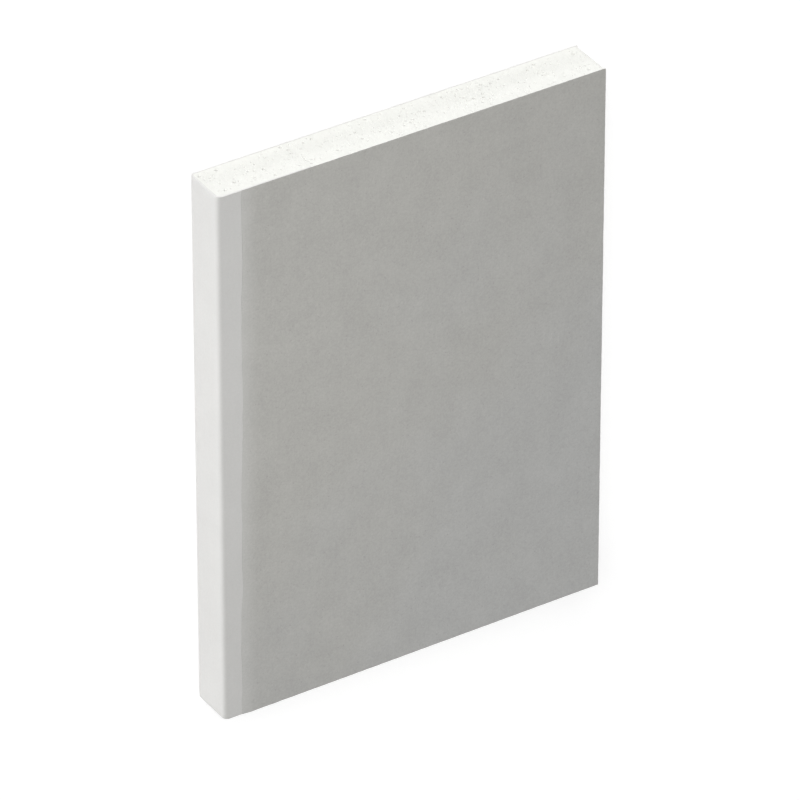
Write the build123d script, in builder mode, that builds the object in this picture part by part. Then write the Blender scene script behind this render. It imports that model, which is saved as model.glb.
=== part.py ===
"""Cut piece of square-edge gypsum board, lying with its grey back liner up.

The piece comes from the edge of a full sheet. Its left side is the factory long edge, where the
face liner folds round the core and laps onto the back. Its other three sides are sawn, so they
show the bare core between the two liners.

Frame: millimetres, +Z up out of the grey back, +Y along the machine direction of the sheet.
The origin is at the middle of the underside.
"""

import os

from build123d import *

# The piece as cut
width = 105.0
length = 146.0
thickness = 12.5

# Paper liners
face_liner_thickness = 0.4
back_liner_thickness = 0.3

# Bound long edge: outside radii of its two folds, and how far the face liner laps onto the back
face_fold_radius = 1.0
back_fold_radius = 1.5
lap_width = 25.0

# The back liner stops short of the bound edge, and its slit edge runs a little out of square
bare_lap_at_far_end = 6.2
bare_lap_at_near_end = 4.6

# Stations and levels worked out from the dimensions above
bound_x = -width / 2
cut_x = width / 2
lap_end_x = bound_x + lap_width
lap_top = thickness - back_liner_thickness


def fold(inset):
    """Run of the face liner from the cut side, round the bound edge, to the end of the lap.

    It lies inset deep inside the liner's outer surface.
    """
    return FilletPolyline(
        (cut_x, inset),
        (bound_x + inset, inset),
        (bound_x + inset, lap_top - inset),
        (lap_end_x, lap_top - inset),
        radius=[face_fold_radius - inset, back_fold_radius - inset],
    )


# Face liner: one strip of paper under the core, up the bound edge and back over the core
with BuildPart() as face_paper:
    with BuildSketch(Plane.XZ):
        with BuildLine():
            fold(inset=face_liner_thickness / 2)
        trace(line_width=face_liner_thickness)
    extrude(amount=length / 2, both=True)
face_paper.part.label = "face_paper"


# Gypsum core: fills the fold, and steps up to the back liner where the lap ends
with BuildPart() as gypsum_core:
    with BuildSketch(Plane.XZ):
        with BuildLine():
            inside = fold(inset=face_liner_thickness)
            Polyline(inside @ 1, (lap_end_x, lap_top), (cut_x, lap_top), inside @ 0)
        make_face()
    extrude(amount=length / 2, both=True)
gypsum_core.part.label = "gypsum_core"


# Back liner: a flat sheet over the core and the lap, short of the bound edge
with BuildPart() as back_paper:
    with BuildSketch(Plane.XY.offset(lap_top)):
        with BuildLine():
            Polyline(
                (bound_x + bare_lap_at_near_end, -length / 2),
                (cut_x, -length / 2),
                (cut_x, length / 2),
                (bound_x + bare_lap_at_far_end, length / 2),
                close=True,
            )
        make_face()
    extrude(amount=back_liner_thickness)
back_paper.part.label = "back_paper"


os.makedirs("parts", exist_ok=True)
for piece in (face_paper, gypsum_core, back_paper):
    export_step(piece.part, f"parts/{piece.part.label}.step")
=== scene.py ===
"""Looks of a cut piece of gypsum board: liners, plaster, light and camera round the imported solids.

Metres. The board lies grey side up, with +Y along the sheet and its bound edge towards -X.
"""

import math
from collections import namedtuple

import bmesh
import bpy
import numpy as np
from mathutils import Matrix, Vector
from mathutils.geometry import delaunay_2d_cdt


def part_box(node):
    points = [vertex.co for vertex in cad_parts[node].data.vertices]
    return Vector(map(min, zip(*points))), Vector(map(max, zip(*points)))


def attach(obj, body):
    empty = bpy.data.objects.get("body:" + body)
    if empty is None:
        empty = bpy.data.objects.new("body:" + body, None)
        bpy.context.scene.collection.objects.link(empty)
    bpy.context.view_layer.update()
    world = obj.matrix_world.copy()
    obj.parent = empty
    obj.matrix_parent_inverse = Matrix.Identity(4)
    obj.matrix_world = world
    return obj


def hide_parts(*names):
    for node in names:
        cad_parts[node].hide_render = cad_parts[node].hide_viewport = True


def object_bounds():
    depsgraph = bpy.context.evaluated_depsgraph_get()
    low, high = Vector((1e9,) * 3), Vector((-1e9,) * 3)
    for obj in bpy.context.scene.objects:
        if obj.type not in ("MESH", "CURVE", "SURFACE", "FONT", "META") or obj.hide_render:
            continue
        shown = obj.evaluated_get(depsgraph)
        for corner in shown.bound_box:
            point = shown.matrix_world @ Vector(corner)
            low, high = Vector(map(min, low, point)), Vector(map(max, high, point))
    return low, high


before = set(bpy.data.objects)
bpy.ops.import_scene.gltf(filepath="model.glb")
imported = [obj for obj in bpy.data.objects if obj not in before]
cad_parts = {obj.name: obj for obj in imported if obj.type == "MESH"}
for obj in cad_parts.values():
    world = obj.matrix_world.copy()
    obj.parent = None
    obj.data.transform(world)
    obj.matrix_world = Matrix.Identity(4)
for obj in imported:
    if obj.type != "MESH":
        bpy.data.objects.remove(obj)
cad_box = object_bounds()

MM = 0.001

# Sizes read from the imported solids
low, high = cad_box
bound_x = low.x
cut_x = high.x
half_length = high.y
top_z = high.z
lap_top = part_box("back_paper")[0].z
face_liner_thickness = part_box("gypsum_core")[0].z
board_centre = (low + high) / 2
slit_near_x = min(v.co.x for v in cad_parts["back_paper"].data.vertices if v.co.y < 0)
slit_far_x = min(v.co.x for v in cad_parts["back_paper"].data.vertices if v.co.y > 0)

# The bound edge's folds and lap, as in the solids
face_fold = 1.0 * MM
back_fold = 1.5 * MM
lap_end_x = bound_x + 25 * MM

# The liners' surface: slightly cockled, worn down in a hem along each cut edge, and frayed there in tufts
cockle = 0.04 * MM
hem = 0.12 * MM
worn = 0.05 * MM
fray = 0.06 * MM
tuft = 0.9 * MM

# Points nearer than this are one point
same_place = 0.001 * MM

# Linear colours. All but the last are a dark and a light one, for the material's tone to choose between.
WARM_GREY = ((0.314, 0.310, 0.293), (0.438, 0.432, 0.409))
COOL_GREY = ((0.312, 0.312, 0.305), (0.435, 0.435, 0.425))
SLIT_EDGE_GREY = ((0.441, 0.439, 0.425), (0.519, 0.516, 0.500))
OFF_WHITE = ((0.775, 0.770, 0.755), (0.875, 0.870, 0.853))
# The lap's grey, which over the bend into the lap is painted shade
LAP_GREY_AND_FOLD_SHADE = ((0.456, 0.453, 0.441), (0.530, 0.526, 0.513))
PLASTER = ((0.876, 0.879, 0.844), (0.976, 0.980, 0.943))
# Painted shade laid on the modelled pores
PORE_SHADE = (0.74, 0.74, 0.712)


# Shape helpers


def ease(t):
    """Smooth step from 0 to 1."""
    t = np.clip(t, 0, 1)
    return t * t * (3 - 2 * t)


def smooth_noise(u, v, cell, rng):
    """Smooth random values from -1 to 1 at the points (u, v), with bumps about a cell wide."""
    a = (u - u.min()) / cell
    b = (v - v.min()) / cell
    table = rng.uniform(-1, 1, (int(a.max()) + 2, int(b.max()) + 2))
    i = a.astype(int)
    j = b.astype(int)
    s = ease(a - i)
    t = ease(b - j)
    near = table[i, j] * (1 - s) + table[i + 1, j] * s
    far = table[i, j + 1] * (1 - s) + table[i + 1, j + 1] * s
    return near * (1 - t) + far * t


def line_noise(u, cell, rng):
    """Smooth random values from -1 to 1 along a line."""
    return smooth_noise(u, np.zeros_like(u), cell, rng)


def frayed(u, cell, rng):
    """How far back a frayed edge lies at the places u along it."""
    return fray * (1 + line_noise(u, cell, rng)) / 2


def stations(start, end, step):
    """Evenly spaced places from start to end, with one more a hem's width inside each end."""
    inner = np.linspace(start + hem, end - hem, max(2, round((end - start - 2 * hem) / step) + 1))
    return np.concatenate([[start], inner, [end]])


def share_along(y):
    """0 at the board's near end and 1 at its far end."""
    return (y + half_length) / (2 * half_length)


def slit_line(along):
    """Where the slit edge of the back liner's solid lies, at those shares along the board."""
    return slit_near_x + (slit_far_x - slit_near_x) * along


def quads(grid):
    """Four-sided faces between the neighbours of a 2-D array of point numbers."""
    corners = (grid[:-1, :-1], grid[1:, :-1], grid[1:, 1:], grid[:-1, 1:])
    return np.stack(corners, axis=-1).reshape(-1, 4).tolist()


def sheet_faces(rows, columns):
    """Faces of a closed sheet whose points are an outer grid and then an inner grid."""
    outer = np.arange(rows * columns).reshape(rows, columns)
    inner = outer + rows * columns
    faces = quads(outer) + quads(inner)
    for line in (np.s_[0], np.s_[-1], np.s_[:, 0], np.s_[:, -1]):
        faces += quads(np.stack([outer[line], inner[line]]))
    return faces


def finished_piece(name, points, faces, node, material, pore_depths=None):
    """A closed mesh that stands for a solid and hides it."""
    crease = math.radians(50)
    mesh = bpy.data.meshes.new(name)
    mesh.from_pydata(np.asarray(points).reshape(-1, 3), [], faces)
    if pore_depths is not None:
        mesh.attributes.new("pore_depth", "FLOAT", "POINT").data.foreach_set("value", pore_depths)
    shell = bmesh.new()
    shell.from_mesh(mesh)
    bmesh.ops.remove_doubles(shell, verts=shell.verts, dist=same_place)
    bmesh.ops.recalc_face_normals(shell, faces=shell.faces)
    shell.to_mesh(mesh)
    shell.free()
    mesh.shade_smooth()
    mesh.set_sharp_from_angle(angle=crease)
    mesh.materials.append(material)
    piece = bpy.data.objects.new(name, mesh)
    bpy.context.scene.collection.objects.link(piece)
    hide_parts(node)
    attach(piece, "root")


# Node helpers


def join(tree, socket, value):
    """Link a node's output to a socket, or set the socket to a plain value."""
    if isinstance(value, bpy.types.NodeSocket):
        tree.links.new(value, socket)
    else:
        socket.default_value = value


def add_node(tree, kind, **inputs):
    """A shader node whose inputs are values or other nodes' outputs."""
    made = tree.nodes.new("ShaderNode" + kind)
    for name, value in inputs.items():
        join(tree, made.inputs[name.replace("_", " ")], value)
    return made


def maths(tree, operation, first, second=0.0, third=0.0):
    """The result of a Math node."""
    made = tree.nodes.new("ShaderNodeMath")
    made.operation = operation
    for socket, value in zip(made.inputs, (first, second, third)):
        join(tree, socket, value)
    return made.outputs[0]


def blend_colours(tree, share, first, second):
    """The first colour where share is 0, and the second where it is 1."""
    made = tree.nodes.new("ShaderNodeMix")
    made.data_type = "RGBA"
    factor, first_colour, second_colour = made.inputs[0], made.inputs[6], made.inputs[7]
    join(tree, factor, share)
    for socket, colour in ((first_colour, first), (second_colour, second)):
        join(tree, socket, colour if isinstance(colour, bpy.types.NodeSocket) else (*colour, 1))
    return made.outputs[2]


def between(tree, value, start, end):
    """Smooth step of a value, from 0 at start to 1 at end."""
    made = add_node(tree, "MapRange", Value=value, From_Min=start, From_Max=end)
    made.interpolation_type = "SMOOTHSTEP"
    return made.outputs[0]


def weighted(tree, value, share, middle):
    """A value that runs about 0.5, as that share of itself about a new middle."""
    return maths(tree, "MULTIPLY_ADD", value, share, middle - share / 2)


def average(tree, first, second):
    """The mean of two values."""
    return maths(tree, "ADD", maths(tree, "MULTIPLY", first, 0.5), maths(tree, "MULTIPLY", second, 0.5))


def stretched(tree, place, scale, turn=0.0):
    """Places turned about +Z and scaled along each axis, for grain that runs one way."""
    turned = add_node(tree, "Mapping", Vector=place, Rotation=(0, 0, turn))
    return add_node(tree, "Mapping", Vector=turned.outputs[0], Scale=scale).outputs[0]


def noise(tree, place, scale, detail=2.0, distortion=0.0):
    """Noise about 0.5, with lumps about 1 / scale millimetres wide."""
    made = add_node(tree, "TexNoise", Vector=place, Scale=scale, Detail=detail, Distortion=distortion)
    return made.outputs[0]


def spots(tree, place, scale, rim, middle):
    """1 in small round spots, about 1 / scale millimetres apart, and 0 outside them."""
    cells = add_node(tree, "TexVoronoi", Vector=place, Scale=scale)
    return between(tree, cells.outputs["Distance"], start=rim, end=middle)


def start_material(name, roughness, specular):
    """A new matt material, with the place on the board in millimetres."""
    material = bpy.data.materials.new(name)
    material.use_nodes = True
    tree = material.node_tree
    surface = tree.nodes["Principled BSDF"]
    surface.inputs["Roughness"].default_value = roughness
    surface.inputs["Specular IOR Level"].default_value = specular
    on_board = tree.nodes.new("ShaderNodeTexCoord").outputs["Object"]
    place = add_node(tree, "Mapping", Vector=on_board, Scale=(1 / MM, 1 / MM, 1 / MM))
    return material, tree, surface, place.outputs[0]


def add_bump(tree, surface, height, depth):
    """Relief of that depth, in metres, from a height of 0 to 1."""
    bump = add_node(tree, "Bump", Height=height, Distance=depth)
    tree.links.new(bump.outputs[0], surface.inputs["Normal"])


# Materials


def paper_tone(tree, place, cloud, grain, fibre, speck):
    """How light the paper is, about 0.5: cloudy formation, fine grain, loose fibres and dark specks."""
    tone = weighted(tree, noise(tree, place, scale=0.13, detail=4.0), share=cloud, middle=0.5)
    fine = weighted(tree, noise(tree, place, scale=2.2), share=grain, middle=0.0)
    tone = maths(tree, "ADD", tone, fine)
    machine_way = stretched(tree, place, scale=(1.3, 0.10, 1.3))
    streaks = weighted(tree, noise(tree, machine_way, scale=1.0), share=cloud / 3, middle=0.0)
    tone = maths(tree, "ADD", tone, streaks)
    # Dark and light fibres, each lot lying its own way
    for turn, sign in ((0.35, -1), (1.5, 1), (2.4, -1), (-0.6, 1), (0.9, -1), (1.9, 1)):
        along = stretched(tree, place, scale=(0.5, 4.5, 4.5), turn=turn)
        lumps = noise(tree, along, scale=1.0, detail=1.0, distortion=0.9)
        strand = between(tree, lumps, start=0.60, end=0.72)
        tone = maths(tree, "ADD", tone, maths(tree, "MULTIPLY", strand, sign * fibre))
    specks = spots(tree, place, scale=0.55, rim=0.13, middle=0.05)
    return maths(tree, "SUBTRACT", tone, maths(tree, "MULTIPLY", specks, speck))


def paper_relief(tree, place):
    """Height of a paper's surface: felt marks and fibres."""
    felt = noise(tree, place, scale=6.0, detail=3.0)
    along = stretched(tree, place, scale=(0.8, 4.0, 4.0), turn=1.2)
    return average(tree, felt, noise(tree, along, scale=1.0, distortion=0.5))


def past_slit(tree, place):
    """How far a place lies from the slit edge of the back liner's solid, in millimetres."""
    apart = add_node(tree, "SeparateXYZ", Vector=place)
    lean = (slit_far_x - slit_near_x) / (2 * half_length)
    middle = (slit_near_x + slit_far_x) / 2 / MM
    edge = maths(tree, "MULTIPLY_ADD", apart.outputs[1], lean, middle)
    return maths(tree, "SUBTRACT", apart.outputs[0], edge)


def grey_paper():
    """Grey recycled liner, paler where it thins out towards its slit edge."""
    wander_mm = 1.5
    material, tree, surface, place = start_material("grey_back_liner", roughness=0.92, specular=0.3)
    tone = paper_tone(tree, place, cloud=0.45, grain=0.8, fibre=0.13, speck=0.5)
    # Warmer towards the far bound corner and cooler towards the near cut one, with a cloudy border
    apart = add_node(tree, "SeparateXYZ", Vector=place)
    drift = maths(tree, "SUBTRACT", apart.outputs[0], apart.outputs[1])
    cloud = weighted(tree, noise(tree, place, scale=0.03), share=160, middle=0.0)
    coolness = between(tree, maths(tree, "ADD", drift, cloud), start=-60, end=120)
    warm = blend_colours(tree, tone, *WARM_GREY)
    cool = blend_colours(tree, tone, *COOL_GREY)
    colour = blend_colours(tree, coolness, warm, cool)
    wander = maths(tree, "MULTIPLY", noise(tree, place, scale=0.15), wander_mm)
    from_edge = maths(tree, "SUBTRACT", past_slit(tree, place), wander)
    thinness = between(tree, from_edge, start=4.6, end=-4.4)
    pale = blend_colours(tree, tone, *SLIT_EDGE_GREY)
    tree.links.new(blend_colours(tree, thinness, colour, pale), surface.inputs["Base Color"])
    add_bump(tree, surface, paper_relief(tree, place), depth=0.03 * MM)
    return material


def lap_and_fold_shade(tree, place):
    """1 on the face liner's lap and rising to it over the bend, where it is painted shade; 0 on the rest
    of it and on its cut ends.
    """
    shade_before_fold = 0.3
    full_before_flat = 0.6
    apart = add_node(tree, "SeparateXYZ", Vector=place)
    in_fold = maths(tree, "ADD", apart.outputs[0], apart.outputs[2])
    fold_start = (bound_x + lap_top - back_fold) / MM
    fold_end = fold_start + 2 * back_fold / MM
    # Starting before the fold and full before the flat, the grey darkens the bend: painted shade where the
    # bend would catch a highlight.
    past_fold = between(tree, in_fold, fold_start - shade_before_fold, fold_end - full_before_flat)
    on_top = between(tree, apart.outputs[2], (lap_top - 3 * back_fold) / MM, (lap_top - back_fold) / MM)
    from_end = maths(tree, "SUBTRACT", half_length / MM, maths(tree, "ABSOLUTE", apart.outputs[1]))
    on_surface = between(tree, from_end, start=0.05, end=0.12)
    return maths(tree, "MULTIPLY", maths(tree, "MULTIPLY", past_fold, on_top), on_surface)


def off_white_paper():
    """Off-white liner, greyer where it laps onto the back, with painted shade over the bend into the lap.
    """
    material, tree, surface, place = start_material("off_white_face_liner", roughness=0.85, specular=0.3)
    tone = paper_tone(tree, place, cloud=0.5, grain=0.6, fibre=0.10, speck=0.2)
    colour = blend_colours(tree, tone, *OFF_WHITE)
    greyed_and_shaded = blend_colours(tree, tone, *LAP_GREY_AND_FOLD_SHADE)
    shown = blend_colours(tree, lap_and_fold_shade(tree, place), colour, greyed_and_shaded)
    tree.links.new(shown, surface.inputs["Base Color"])
    add_bump(tree, surface, paper_relief(tree, place), depth=0.02 * MM)
    return material


def plaster():
    """White set gypsum, with fine grain, painted shade in pores too small to model and in the modelled
    ones, and a duller, more foamed heart.
    """
    heart_level = 4.5
    heart_dulls = 0.34
    pit_painted_shade = 0.35
    material, tree, surface, place = start_material("set_gypsum", roughness=0.95, specular=0.25)
    cloud = noise(tree, place, scale=0.35, detail=3.0)
    grain = noise(tree, place, scale=3.5, detail=3.0)
    pits = spots(tree, place, scale=2.2, rim=0.22, middle=0.08)
    level = add_node(tree, "SeparateXYZ", Vector=place).outputs[2]
    from_heart = maths(tree, "ABSOLUTE", maths(tree, "SUBTRACT", level, heart_level))
    heart = between(tree, from_heart, start=4.2, end=0.6)
    tone = average(tree, cloud, grain)
    tone = maths(tree, "SUBTRACT", tone, maths(tree, "MULTIPLY", heart, heart_dulls))
    # Painted shade in the small pits, whose relief the bump also gives
    tone = maths(tree, "SUBTRACT", tone, maths(tree, "MULTIPLY", pits, pit_painted_shade))
    depth = tree.nodes.new("ShaderNodeAttribute")
    depth.attribute_name = "pore_depth"
    # Painted shade in the modelled pores, full from 0.18 mm deep
    in_pore = between(tree, depth.outputs["Fac"], start=0, end=0.18 * MM)
    colour = blend_colours(tree, in_pore, blend_colours(tree, tone, *PLASTER), PORE_SHADE)
    tree.links.new(colour, surface.inputs["Base Color"])
    add_bump(tree, surface, maths(tree, "SUBTRACT", grain, pits), depth=0.05 * MM)
    return material


# Liners


def back_liner():
    """Grey liner: cut on three sides, its slit edge on the fourth pressed thin where it wanders."""
    rng = np.random.default_rng(seed=11)
    step = 0.8 * MM
    wander = 0.25 * MM
    wander_cell = 9 * MM
    wobble = 0.08 * MM
    wobble_cell = 1.6 * MM
    tuft_share = 0.008
    cockle_cell = 17 * MM
    pressed = 0.24 * MM
    pressed_width = 2.5 * MM
    thinnest = 0.03 * MM
    y = stations(-half_length, half_length, step)
    u = stations(0, cut_x - slit_near_x, step) / (cut_x - slit_near_x)
    along = share_along(y)
    left = slit_line(along) + wander * (1 + line_noise(y, wander_cell, rng))
    left = left + wobble * line_noise(y, wobble_cell, rng)
    right = cut_x - frayed(y, tuft, rng)
    x = left[None, :] + u[:, None] * (right - left)[None, :]
    near_fray = frayed(u, tuft_share, rng)
    far_fray = frayed(u, tuft_share, rng)
    y = y[None, :] + near_fray[:, None] * (1 - along) - far_fray[:, None] * along
    top = top_z - cockle * (1 + smooth_noise(x, y, cockle_cell, rng)) / 2
    top = top - pressed * (1 - ease((x - left[None, :]) / pressed_width))
    for line in (np.s_[-1], np.s_[:, 0], np.s_[:, -1]):
        top[line] -= worn
    top = np.maximum(top, lap_top + thinnest)
    outer = np.stack([x, y, top], axis=-1)
    inner = np.stack([x, y, np.full_like(x, lap_top)], axis=-1)
    finished_piece("back_liner", [outer, inner], sheet_faces(*x.shape), "back_paper", grey_paper())


def fold_path(step):
    """Points round the outside of the face liner, from the cut side to the lap's end.

    With them come the ways in: for each point, the way from there into the liner.
    """
    points = []
    inward = []
    up = (0, 1)
    across = (1, 0)
    down = (0, -1)
    places_in_bend = 9

    def run(start, end, way):
        """Add a straight stretch, short of its last point."""
        count = max(2, round(math.dist(start, end) / step) + 1)
        points.extend(np.linspace(start, end, count)[:-1])
        inward.extend([way] * (count - 1))

    def bend(centre, radius, start, end):
        """Add a round stretch from one angle to another, short of its last point."""
        for angle in np.radians(np.linspace(start, end, places_in_bend)[:-1]):
            way = -np.array([math.cos(angle), math.sin(angle)])
            points.append(np.array(centre) - radius * way)
            inward.append(way)

    run((cut_x, 0), (cut_x - hem, 0), up)
    run((cut_x - hem, 0), (bound_x + face_fold, 0), up)
    bend((bound_x + face_fold, face_fold), face_fold, start=-90, end=-180)
    run((bound_x, face_fold), (bound_x, lap_top - back_fold), across)
    bend((bound_x + back_fold, lap_top - back_fold), back_fold, start=180, end=90)
    run((bound_x + back_fold, lap_top), (lap_end_x, lap_top), down)
    points.append(np.array((lap_end_x, lap_top)))
    inward.append(down)
    return np.array(points), np.array(inward)


def face_liner():
    """Off-white liner: under the core, up the bound edge and over onto the back."""
    rng = np.random.default_rng(seed=23)
    step = 0.9 * MM
    cockle_cell = 14 * MM
    flattens_over = 2 * MM
    points, inward = fold_path(step)
    y = stations(-half_length, half_length, step)
    travel = np.concatenate([[0], np.cumsum(np.linalg.norm(np.diff(points, axis=0), axis=1))])
    s, v = np.meshgrid(travel, y, indexing="ij")
    depth = cockle * (1 + smooth_noise(s, v, cockle_cell, rng)) / 2
    # The lap lies flat where the back liner covers it
    along = share_along(y)
    under_back = ease((points[:, :1] - slit_line(along)[None, :]) / flattens_over + 1)
    depth *= 1 - under_back * (points[:, 1:] > lap_top - cockle)
    depth[:, [0, -1]] += worn
    depth[0] += worn
    outer_xz = points[:, None, :] + inward[:, None, :] * depth[..., None]
    inner_xz = np.broadcast_to((points + inward * face_liner_thickness)[:, None, :], outer_xz.shape)
    ends = frayed(travel, tuft, rng)
    place_y = v + ends[:, None] * (1 - 2 * along)
    grids = []
    for xz in (outer_xz, inner_xz):
        grids.append(np.stack([xz[..., 0], place_y, xz[..., 1]], axis=-1))
    finished_piece("face_liner", grids, sheet_faces(*s.shape), "face_paper", off_white_paper())


# Core

# A sawn face: its places (along, up), how deep each lies, how much of that is pore, and its triangles
CutFace = namedtuple("CutFace", "places depth hollow triangles")


def inside(outline, places):
    """Which places lie inside a closed outline, by the even-odd rule."""
    x, z = places[:, :1], places[:, 1:]
    start_x, start_z = outline.T
    end_x, end_z = np.roll(outline, -1, axis=0).T
    crosses = (start_z > z) != (end_z > z)
    rise = np.where(crosses, end_z - start_z, 1)
    crossing_x = start_x + (z - start_z) * (end_x - start_x) / rise
    return (crosses & (x < crossing_x)).sum(axis=1) % 2 == 1


def distances(places, centre):
    """How far each place lies from the centre."""
    return np.linalg.norm(places - centre, axis=1)


def air_pores(outline, rng):
    """Centres and radii of the round air pores in a cut face: apart, and fewer by the liners."""
    tries_per_square_mm = 0.75
    smallest_mm = 0.11
    usual_excess_mm = 0.08
    largest_mm = 0.45
    gap = 0.06 * MM
    margin = 0.25 * MM
    bare_by_liner = 4
    corner = outline.min(axis=0)
    size = outline.max(axis=0) - corner
    centres = np.empty((0, 2))
    radii = np.empty(0)
    for _ in range(int(tries_per_square_mm * size[0] * size[1] / MM**2)):
        share = rng.random(2)
        centre = corner + size * share
        radius = min(smallest_mm + rng.exponential(usual_excess_mm), largest_mm) * MM
        by_liner = rng.random() < abs(2 * share[1] - 1) ** bare_by_liner
        crowded = np.any(distances(centres, centre) < radii + radius + gap)
        if by_liner or crowded or distances(outline, centre).min() < radius + margin:
            continue
        centres = np.vstack([centres, centre])
        radii = np.append(radii, radius)
    return centres, radii


def pore_rings(centre, radius, rng):
    """Points in rings down a pore, and how deep each lies."""
    ring_shares = (1.0, 0.85, 0.5)
    depth_share = 0.9
    small = 0.2 * MM
    sides = 8 if radius < small else 13
    turn = math.tau * (np.arange(sides) + rng.random()) / sides
    ring = radius * np.stack([np.cos(turn), np.sin(turn)], axis=-1)
    shares = np.repeat(ring_shares, sides)[:, None]
    places = np.concatenate([centre + shares * np.tile(ring, (len(ring_shares), 1)), [centre]])
    below = np.sqrt(np.clip(radius**2 - distances(places, centre) ** 2, 0, None))
    return places, depth_share * below


def cut_relief(along, up, rng):
    """How far a sawn plaster face lies behind the liners' edges, its pores apart."""
    set_back = 0.02 * MM
    swell = 0.03 * MM
    grain = 0.03 * MM
    lump = 0.025 * MM
    saw_mark = 0.015 * MM
    saw_mark_stretch = 12
    depth = set_back + swell * (1 + smooth_noise(along, up, cell=6 * MM, rng=rng))
    depth += grain * np.abs(smooth_noise(along, up, cell=0.5 * MM, rng=rng))
    depth += lump * (1 + smooth_noise(along, up, cell=1.2 * MM, rng=rng))
    return depth + saw_mark * (1 + smooth_noise(along, up / saw_mark_stretch, cell=0.8 * MM, rng=rng))


def crumbled(places, corner, rng):
    """How far the plaster has crumbled back beside an upright corner."""
    worn_back = 0.12 * MM
    unevenness = 0.5
    crumb = 1.5 * MM
    reach = 0.35 * MM
    back = worn_back * (1 + unevenness * line_noise(places[:, 1], crumb, rng))
    return back * np.exp(-np.abs(places[:, 0] - corner) / reach)


def cut_face(outline, corners, rng):
    """A sawn face of the core within its outline, whose points come first.

    Corners says where along the face its upright corners are.
    """
    spacing = 0.55 * MM
    scatter = 0.35
    room = 0.2 * MM
    inner_triangles = 1
    tolerance = 0
    centres, radii = air_pores(outline, rng)
    along, up = (np.arange(*ends, spacing) for ends in zip(outline.min(axis=0), outline.max(axis=0)))
    loose = np.stack(np.meshgrid(along, up), axis=-1).reshape(-1, 2)
    loose += spacing * rng.uniform(-scatter, scatter, loose.shape)
    loose = loose[inside(outline, loose)]
    for point in outline:
        loose = loose[distances(loose, point) > room]
    for centre, radius in zip(centres, radii):
        loose = loose[distances(loose, centre) > radius + room / 2]
    rings = [pore_rings(centre, radius, rng) for centre, radius in zip(centres, radii)]
    places = np.concatenate([outline, loose] + [ring[0] for ring in rings])
    hollow = np.concatenate([np.zeros(len(outline) + len(loose))] + [ring[1] for ring in rings])
    depth = cut_relief(*places.T, rng) + hollow
    for corner in corners:
        depth += crumbled(places, corner, rng)
    count = len(outline)
    rim = [(i, (i + 1) % count) for i in range(count)]
    spread = [Vector(place) for place in places / MM]
    _, _, triangles, sources, _, _ = delaunay_2d_cdt(spread, rim, [], inner_triangles, tolerance)
    source = np.array([numbers[0] for numbers in sources])
    return CutFace(places, depth, hollow, source[np.array(triangles)])


def edge_follows(face, corner, other, other_corner):
    """How far a face's points move along it, so that its upright edge meets the other face's."""
    room = 1.2 * MM
    on_edge = np.flatnonzero(np.abs(other.places[:, 0] - other_corner) < same_place)
    rising = on_edge[np.argsort(other.places[on_edge, 1])]
    move = np.interp(face.places[:, 1], other.places[rising, 1], other.depth[rising])
    return move * np.exp(-np.abs(face.places[:, 0] - corner) / room)


def core():
    """Gypsum core: three sawn faces with their pores, and plain faces under the liners."""
    rng = np.random.default_rng(seed=37)
    step = 0.45 * MM
    wide_face = 2 * MM
    # The section's outline: round inside the face liner, along under the back liner, and down the cut side
    path, inward = fold_path(step)
    run_x = np.arange(lap_end_x, cut_x - step / 2, step)
    under_back = np.stack([run_x, np.full_like(run_x, lap_top)], axis=-1)
    levels = np.linspace(face_liner_thickness, lap_top, round((lap_top - face_liner_thickness) / step) + 1)
    down = np.stack([np.full_like(levels, cut_x), levels], axis=-1)[:0:-1]
    section = np.concatenate([path + inward * face_liner_thickness, under_back, down])
    # The cut side's outline: up its near edge and along the top, then the same turned half round
    run_y = np.linspace(-half_length, half_length, round(2 * half_length / step) + 1)[1:-1]
    up_edge = np.stack([np.full_like(levels, -half_length), levels], axis=-1)
    half_round = np.concatenate([up_edge, np.stack([run_y, np.full_like(run_y, lap_top)], axis=-1)])
    cut_side = np.concatenate([half_round, (0, face_liner_thickness + lap_top) - half_round])
    near = cut_face(section, [cut_x], rng)
    far = cut_face(section, [cut_x], rng)
    side = cut_face(cut_side, [-half_length, half_length], rng)
    # Each face stands behind its plane, so its neighbours draw in with it along their shared edge
    near_x = near.places[:, 0] - edge_follows(near, cut_x, side, -half_length)
    far_x = far.places[:, 0] - edge_follows(far, cut_x, side, half_length)
    side_y = side.places[:, 0] + edge_follows(side, -half_length, near, cut_x)
    side_y -= edge_follows(side, half_length, far, cut_x)
    points = np.concatenate([
        np.stack([near_x, -half_length + near.depth, near.places[:, 1]], axis=-1),
        np.stack([far_x, half_length - far.depth, far.places[:, 1]], axis=-1),
        np.stack([cut_x - side.depth, side_y, side.places[:, 1]], axis=-1),
    ])
    first_far = len(near.places)
    first_side = first_far + len(far.places)
    faces = []
    for face, first in ((near, 0), (far, first_far), (side, first_side)):
        faces += (face.triangles + first).tolist()
    # Under the liners: strips from the near face to the far one, and a wide face each side by the cut side
    ring = np.arange(len(section) - len(down) + 1)
    plain = np.flatnonzero(section[ring, 0] < cut_x - wide_face)
    faces += quads(np.stack([plain, plain + first_far]))
    below = ring[: plain[0] + 1]
    above = ring[plain[-1]:]
    top_line = first_side + np.arange(len(up_edge), len(half_round))
    bottom_line = top_line + len(half_round)
    faces.append([*below, *(below[::-1] + first_far), *bottom_line])
    faces.append([*above, *top_line, *(above[::-1] + first_far)])
    pore_depths = np.concatenate([near.hollow, far.hollow, side.hollow])
    finished_piece("core", points, faces, "gypsum_core", plaster(), pore_depths)


# Floor, light and camera


def seen_directly(tree):
    """1 for the camera's own rays and for those seen in gloss or through glass, and 0 for other light."""
    path = tree.nodes.new("ShaderNodeLightPath")
    mirrored = maths(tree, "MAXIMUM", path.outputs["Is Glossy Ray"], path.outputs["Is Transmission Ray"])
    return maths(tree, "MAXIMUM", path.outputs["Is Camera Ray"], mirrored)


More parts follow.
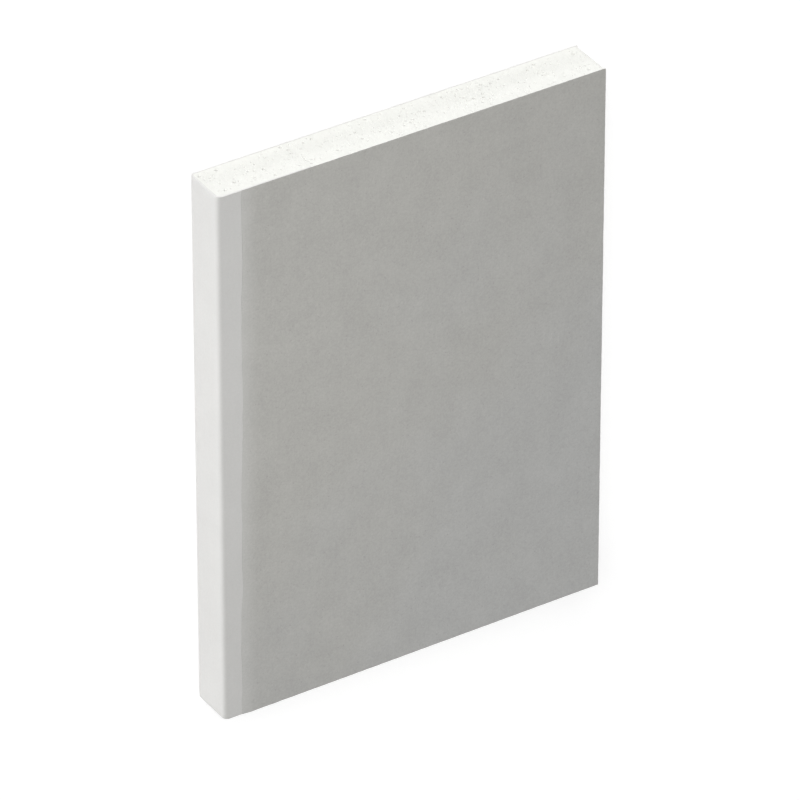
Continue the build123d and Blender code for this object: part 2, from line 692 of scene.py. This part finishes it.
def make_floor():
    """Pale floor that shows white in plain light and keeps the board's shadow."""
    bounce = 0.88
    shown_diffuse = 0.65
    shown_glow = 0.46
    reach = 6.0
    material = bpy.data.materials.new("studio_floor")
    material.use_nodes = True
    tree = material.node_tree
    tree.nodes.remove(tree.nodes["Principled BSDF"])
    plain = add_node(tree, "BsdfDiffuse", Color=(bounce, bounce, bounce, 1))
    matt = add_node(tree, "BsdfDiffuse", Color=(shown_diffuse, shown_diffuse, shown_diffuse, 1))
    glow = add_node(tree, "Emission", Strength=shown_glow)
    shown = tree.nodes.new("ShaderNodeAddShader")
    tree.links.new(matt.outputs[0], shown.inputs[0])
    tree.links.new(glow.outputs[0], shown.inputs[1])
    choice = add_node(tree, "MixShader", Fac=seen_directly(tree))
    tree.links.new(plain.outputs[0], choice.inputs[1])
    tree.links.new(shown.outputs[0], choice.inputs[2])
    tree.links.new(choice.outputs[0], tree.nodes["Material Output"].inputs["Surface"])
    mesh = bpy.data.meshes.new("floor")
    corners = [(-reach, -reach, 0), (reach, -reach, 0), (reach, reach, 0), (-reach, reach, 0)]
    mesh.from_pydata(corners, [], [(0, 1, 2, 3)])
    mesh.materials.append(material)
    floor = bpy.data.objects.new("floor", mesh)
    bpy.context.scene.collection.objects.link(floor)


def make_world():
    """Even pale light from all round, shown white."""
    sky_light = 0.42
    world = bpy.data.worlds.new("studio")
    world.use_nodes = True
    bpy.context.scene.world = world
    tree = world.node_tree
    strength = maths(tree, "MULTIPLY_ADD", seen_directly(tree), 1 - sky_light, sky_light)
    background = tree.nodes["Background"]
    background.inputs["Color"].default_value = (1, 1, 1, 1)
    tree.links.new(strength, background.inputs["Strength"])


def add_lamp(kind, name, energy, direction, distance):
    """The settings of a new lamp that shines on the board from a direction."""
    data = bpy.data.lights.new(name, kind)
    data.energy = energy
    holder = bpy.data.objects.new(name, data)
    bpy.context.scene.collection.objects.link(holder)
    way = Vector(direction).normalized()
    holder.visible_camera = False
    holder.location = board_centre + way * distance
    holder.rotation_euler = way.to_track_quat("Z", "Y").to_euler()
    return data


def make_lamps():
    """A key and a fill, both wide soft suns, and a lamp close over the bound edge.

    The key stands beyond the bound edge's far corner.
    """
    softness = math.radians(50)
    key = add_lamp("SUN", "key", energy=0.566 * math.pi, direction=(-0.48, 0.74, 0.48), distance=2.0)
    fill = add_lamp("SUN", "fill", energy=0.414 * math.pi, direction=(0.62, -0.68, 0.38), distance=2.0)
    key.angle = softness
    fill.angle = softness
    near = add_lamp("AREA", "near", energy=0.0561, direction=(-0.44, 0.22, 0.87), distance=0.183)
    near.shape = "DISK"
    near.size = 0.10


def make_camera():
    """The photograph's view: a long lens, the board's +Y upright in the picture."""
    azimuth = math.radians(32.21)
    elevation = math.radians(33.94)
    lengths_away = 14
    board_above_middle = 3.45 * MM
    distance = lengths_away * 2 * half_length
    back = Vector((
        -math.sin(azimuth) * math.cos(elevation),
        math.sin(elevation),
        math.cos(azimuth) * math.cos(elevation),
    ))
    right = Vector((0, 1, 0)).cross(back).normalized()
    up = back.cross(right)
    data = bpy.data.cameras.new("camera")
    data.sensor_width = 36
    data.lens = 393.1
    data.clip_end = 20
    camera = bpy.data.objects.new("camera", data)
    bpy.context.scene.collection.objects.link(camera)
    turn = Matrix((right, up, back)).transposed()
    place = board_centre + back * distance - up * board_above_middle
    camera.matrix_world = Matrix.Translation(place) @ turn.to_4x4()
    bpy.context.scene.camera = camera


back_liner()
face_liner()
core()
make_floor()
make_world()
make_lamps()
make_camera()
bpy.context.scene.view_settings.view_transform = "Standard"
